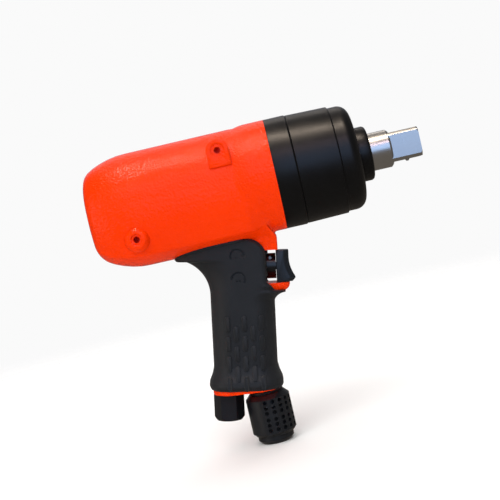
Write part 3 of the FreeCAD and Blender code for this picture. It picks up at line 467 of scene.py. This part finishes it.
trigger_shape = outline((23.2, 35.7), (33.6, 35.7), (35.7, 38.1), (31.6, 53.8, -26), (31.6, 56.3),
                        (23.2, 56.3))
half_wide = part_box("trigger")[1].y / MM
side_bevel = 3.4
trigger = skin("trigger_paddle", [[(p.x - inset * (p.x > 30), y, p.y) for p in trigger_shape]
                                  for y, inset in ((-half_wide, side_bevel), (side_bevel - half_wide, 0),
                                                   (half_wide - side_bevel, 0), (half_wide, side_bevel))],
               HANDLE)
settle(trigger, "BEVEL", width=0.35 * MM, segments=2, limit_method="ANGLE")
hollow_half = half_wide - 1.6
combine(trigger, "DIFFERENCE", plate("hollow", [(22, 37.4), (28.8, 37.4), (28.8, 54.6), (22, 54.6)],
                                     -hollow_half, hollow_half, HANDLE))
smooth(trigger, 30)
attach(trigger, "trigger")
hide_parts("trigger")


def moulded(name, dark, light, rough, grain_size, depth):
    """A moulded plastic: an even colour with a slight cloud, and the grain of its mould.

    The grain is given in millimetres, about twice as coarse as it is, so that it shows.
    """
    material, tree, output, place = new_material(name)
    cloud = add(tree, "ShaderNodeTexNoise", {"Vector": place, "Scale": 1 / (9 * MM), "Detail": 2.0})
    tint = add(tree, "ShaderNodeMix", {"Factor": cloud.outputs["Fac"], 6: linear(dark),
                                       7: linear(light)}, data_type="RGBA")
    grit = add(tree, "ShaderNodeTexNoise", {"Vector": place, "Scale": 1 / (grain_size * MM),
                                            "Detail": 2.0})
    bump = add(tree, "ShaderNodeBump", {"Strength": 0.3, "Distance": depth * MM,
                                        "Height": grit.outputs["Fac"]})
    spread = add(tree, "ShaderNodeMapRange", {"Value": cloud.outputs["Fac"], 3: rough - 0.04,
                                              4: rough + 0.04})
    plastic = add(tree, "ShaderNodeBsdfPrincipled", {"Base Color": tint.outputs[2],
                                                     "Roughness": spread.outputs["Result"],
                                                     "Normal": bump.outputs["Normal"]})
    tree.links.new(plastic.outputs["BSDF"], output.inputs["Surface"])
    return material


# Dyed nylon off a lightly textured tool: a cold slate black with a soft shine.
slate_nylon = moulded("slate_nylon", "#111820", "#161E27", 0.42, 0.5, 0.03)
finish(trigger, slate_nylon)


# ---------------------------------------------------------------- front end
# Clamp ring, hammer case and nose ring, turned from alloy steel and finished satin black. The
# edges are broken, and a fine groove of light shows where the ring meets the case.


def turned_copy(node, name, profile, break_edge):
    """A turned piece with broken edges that stands for a CAD node of the same size."""
    piece = lathe(name, profile, segments=192)
    settle(piece, "BEVEL", width=break_edge * MM, segments=3, limit_method="ANGLE")
    smooth(piece, 50)
    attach(piece, "housing")
    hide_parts(node)
    return piece


case_rear, case_front = (end.x / MM for end in (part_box("clamp_ring")[1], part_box("hammer_case")[1]))
nose_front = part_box("nose_ring")[1].x / MM
clamp_ring = turned_copy("clamp_ring", "clamp_ring_turned",
                         [(ring_rear, 33.1), (case_rear - 0.02, 33.1), (case_rear - 0.02, 36),
                          (case_rear - 0.7, 36.6), (ring_rear, 36.6)], 0.35)
corner = [(p.x, p.y) for p in arc((case_front, 27), (case_front - 7.5, 34.5), 7.5, 0.5)]
hammer_case = turned_copy("hammer_case", "hammer_case_turned",
                          [(case_front, 16.05), (case_front, 27), *corner, (-54.3, 34.5),
                           (-54.9, 35.55), (case_rear + 0.3, 36.2), (case_rear, 35.9),
                           (case_rear, 33), (-101, 33), (-101, 30.5), (-52, 30.5), (-52, 16.05)],
                          0.25)
nose_ring = turned_copy("nose_ring", "nose_ring_turned",
                        [(nose_front, 13.2), (nose_front, 16.2), (nose_front - 0.5, 17.3),
                         (nose_front - 1.8, 18), (case_front + 0.02, 18), (case_front + 0.02, 16.1),
                         (-36, 16.1), (-36, 13.2)], 0.3)


def turned_metal(name, dark, light, metallic, rough, line, depth, specular=0.5):
    """A turned surface: rings round the spindle from the tool, and a slight change of sheen.

    The rings are given in millimetres and are drawn several times wider than real ones, which
    would be too fine to show.
    """
    material, tree, output, place = new_material(name)
    rings = add(tree, "ShaderNodeMapping", {"Vector": place, "Scale": (1 / (line * MM), 12, 12)})
    cut_marks = add(tree, "ShaderNodeTexNoise", {"Vector": rings.outputs["Vector"], "Scale": 1.0,
                                                 "Detail": 3.0})
    cloud = add(tree, "ShaderNodeTexNoise", {"Vector": place, "Scale": 1 / (16 * MM), "Detail": 3.0})
    tint = add(tree, "ShaderNodeMix", {"Factor": cloud.outputs["Fac"], 6: linear(dark),
                                       7: linear(light)}, data_type="RGBA")
    both = add(tree, "ShaderNodeMath", {0: cut_marks.outputs["Fac"], 1: cloud.outputs["Fac"]},
               operation="ADD")
    spread = add(tree, "ShaderNodeMapRange", {"Value": both.outputs["Value"], 1: 0.6, 2: 1.4,
                                              3: rough - 0.05, 4: rough + 0.06})
    bump = add(tree, "ShaderNodeBump", {"Strength": 0.25, "Distance": depth * MM,
                                        "Height": cut_marks.outputs["Fac"]})
    metal = add(tree, "ShaderNodeBsdfPrincipled", {"Base Color": tint.outputs[2],
                                                   "Metallic": metallic,
                                                   "Specular IOR Level": specular,
                                                   "Roughness": spread.outputs["Result"],
                                                   "Normal": bump.outputs["Normal"]})
    tree.links.new(metal.outputs["BSDF"], output.inputs["Surface"])
    return material


# Satin black over turned steel: nearly black, with a broad soft shine drawn out round the case.
black_satin = turned_metal("satin_black_steel", "#060607", "#0A0A0B", 0.0, 0.36, 0.35, 0.01, 0.34)
for part in (clamp_ring, hammer_case, nose_ring):
    finish(part, black_satin)


# ---------------------------------------------------------------- pieces kept as the frame has them
# Anvil, bushings, seals, air motor, hammers, valves, inlet and exhaust keep their turned and
# milled shapes, and each gets the surface its trade gives it.

node_object = frame["nodes"]
# Ground and polished alloy steel: bright, with close grinding lines.
ground_steel = turned_metal("ground_steel", "#C4C4C2", "#DADAD7", 1.0, 0.3, 0.3, 0.01)
# Machined steel, as it comes from the lathe: a little greyer and rougher.
machined_steel = turned_metal("machined_steel", "#8F8F8F", "#A8A7A5", 1.0, 0.34, 0.4, 0.012)
# Leaded bronze: a warm yellow brown, turned.
bronze = turned_metal("leaded_bronze", "#A67A3E", "#BC8D4C", 1.0, 0.32, 0.4, 0.01)
# Drawn spring wire: smooth and grey.
spring_wire = turned_metal("drawn_spring_wire", "#7C7D80", "#93949A", 1.0, 0.28, 0.5, 0.004)
# Black zinc plate: deep black with a slight metal glint.
black_zinc = turned_metal("black_zinc_plate", "#17171B", "#1F1F25", 0.3, 0.36, 0.5, 0.008)
# Glass-filled nylon: black, half gloss, with a faint grain from the glass.
glass_nylon = moulded("glass_filled_nylon", "#121418", "#1A1D22", 0.3, 0.6, 0.02)
# Plain black nylon, as the reverse collar has it.
plain_nylon = moulded("black_nylon", "#0B0B0C", "#121214", 0.28, 0.5, 0.015)
# Nitrile rubber of the seals: matt and slightly brown.
nitrile = moulded("nitrile_rubber", "#0E0D0D", "#161514", 0.6, 0.6, 0.03)
# Cloth-filled phenolic of the vanes: brown, with the weave pressed flat.
phenolic = moulded("cloth_phenolic", "#4A2A17", "#5E3A22", 0.5, 0.4, 0.03)
# Pressed wool felt: grey and fibrous.
felt = moulded("wool_felt", "#7E7A70", "#979387", 0.9, 0.25, 0.2)

finishes = {"ground_steel": ground_steel, "machined_steel": machined_steel, "bronze": bronze,
            "spring_steel": spring_wire, "black_zinc": black_zinc, "deflector_nylon": glass_nylon,
            "black_nylon": plain_nylon, "seal_rubber": nitrile, "vane_phenolic": phenolic,
            "felt": felt, "orange_enamel": orange_coat, "grip_rubber": rubber,
            "black_oxide": black_satin, "trigger_nylon": slate_nylon}
for part in frame["record"]["subparts"]:
    finish(node_object[part["node"]], finishes[part["material_slot"]])
# The liner behind the vents is the same felt, coloured near black as painted shade for the dark inside of
# the vents.
finish(node_object["silencer_liner"], moulded("felt_painted_vent_shade", "#0B0A09", "#141311", 0.85, 0.25, 0.15))


# ---------------------------------------------------------------- studio
# A matt white floor that fades into a pale surround. Wide suns light the tool evenly from above
# and in front, and panels out of view give the paint and the metal their reflections.

camera = bpy.data.objects.new("camera", bpy.data.cameras.new("camera"))
bpy.context.scene.collection.objects.link(camera)
bpy.context.scene.camera = camera
camera.data.lens = 69.5
camera.data.sensor_width = 36
eye = Vector((-0.104, -0.64, -0.022))
target = Vector((-0.124, 0, -0.045))
roll = math.radians(-13)
aim = (target - eye).to_track_quat("-Z", "Y").to_matrix().to_4x4()
camera.matrix_world = Matrix.Translation(eye) @ aim @ Matrix.Rotation(roll, 4, "Z")

foot, reach = cad_box[0].z, 4000
floor = build("floor", [(x * reach, y * reach, foot / MM)
                        for x, y in ((-1, -1), (1, -1), (1, 1), (-1, 1))], [(0, 1, 2, 3)])
# Matt white paint: it takes soft shadows and gives no shine.
matte_white, tree, output, place = new_material("matte_white_paint")
white = add(tree, "ShaderNodeBsdfPrincipled", {"Base Color": linear("#FBFBFB"), "Roughness": 0.9,
                                               "Specular IOR Level": 0.1})
away = add(tree, "ShaderNodeVectorMath", {0: place, 1: (-0.12, 0, foot)}, operation="DISTANCE")
fade = add(tree, "ShaderNodeMapRange", {"Value": away.outputs["Value"], 1: 0.3, 2: 1.1},
           interpolation_type="SMOOTHSTEP")
open_air = tree.nodes.new("ShaderNodeBsdfTransparent")
soft_edge = add(tree, "ShaderNodeMixShader", {0: fade.outputs["Result"], 1: white.outputs["BSDF"],
                                              2: open_air.outputs["BSDF"]})
tree.links.new(soft_edge.outputs["Shader"], output.inputs["Surface"])
finish(floor, matte_white)
floor.visible_glossy = False

bpy.context.scene.view_settings.view_transform = "Standard"
surround = bpy.data.worlds.new("surround")
bpy.context.scene.world = surround
surround.use_nodes = True
tree = surround.node_tree
tree.nodes.clear()
output = tree.nodes.new("ShaderNodeOutputWorld")
way = add(tree, "ShaderNodeSeparateXYZ",
          {0: tree.nodes.new("ShaderNodeTexCoord").outputs["Generated"]})
height = add(tree, "ShaderNodeMapRange", {"Value": way.outputs["Z"], 1: -0.25, 2: 0.9, 3: 0.0, 4: 1.0})
room = add(tree, "ShaderNodeMix", {"Factor": height.outputs["Result"], 6: linear("#BFB4A8"),
                                   7: linear("#969AA2")}, data_type="RGBA")
dim = add(tree, "ShaderNodeBackground", {"Color": room.outputs[2], "Strength": 0.3})
pale = add(tree, "ShaderNodeBackground", {"Color": linear("#FAFAFA"), "Strength": 1.0})
seen = tree.nodes.new("ShaderNodeLightPath").outputs["Is Camera Ray"]
sky = add(tree, "ShaderNodeMixShader", {0: seen, 1: dim.outputs["Background"],
                                        2: pale.outputs["Background"]})
tree.links.new(sky.outputs["Shader"], output.inputs["Surface"])


def lamp(name, kind, place, energy, colour, rays, **settings):
    """A light that faces the tool, out of the picture, for its shading or for its reflections."""
    light = bpy.data.lights.new(name, kind)
    light.energy = energy
    light.color = linear(colour)[:3]
    for key, value in settings.items():
        setattr(light, key, value)
    holder = bpy.data.objects.new(name, light)
    bpy.context.scene.collection.objects.link(holder)
    holder.location = place
    holder.visible_camera = False
    holder.visible_diffuse = rays == "diffuse"
    holder.visible_glossy = rays == "glossy"
    towards = (cad_box[0] + cad_box[1]) / 2 - Vector(place)
    holder.rotation_euler = towards.to_track_quat("-Z", "Y").to_euler()


for name, place, energy in (("front_fill", (-0.6, -2.2, 1.7), 2.4), ("top_fill", (-0.1, 0, 3), 1.6),
                            ("back_fill", (0.3, 2.0, 1.6), 1.0)):
    lamp(name, "SUN", place, energy, "#FFFDFA", "diffuse", angle=math.radians(60))
for name, place, energy, colour, long, high in (
        ("strip_light", (-0.15, -0.22, 0.95), 9, "#FFEBD6", 0.9, 0.07),
        ("low_strip", (-0.15, -0.75, 0.62), 1.8, "#FFE0EA", 1.2, 0.1),
        ("front_light", (0.15, -1.5, 0.42), 7.0, "#A9CCFF", 1.5, 0.95),
        ("side_light", (-1.5, -0.7, 0.1), 4.0, "#FFF3E6", 0.8, 0.8),
        ("back_strip", (-0.15, 0.7, 0.75), 1, "#FFF4EA", 0.9, 0.2),
        ("back_light", (-0.2, 1.5, 0.5), 1.8, "#E6EEFF", 1.5, 0.9)):
    lamp(name, "AREA", place, energy, colour, "glossy", shape="RECTANGLE", size=long, size_y=high)
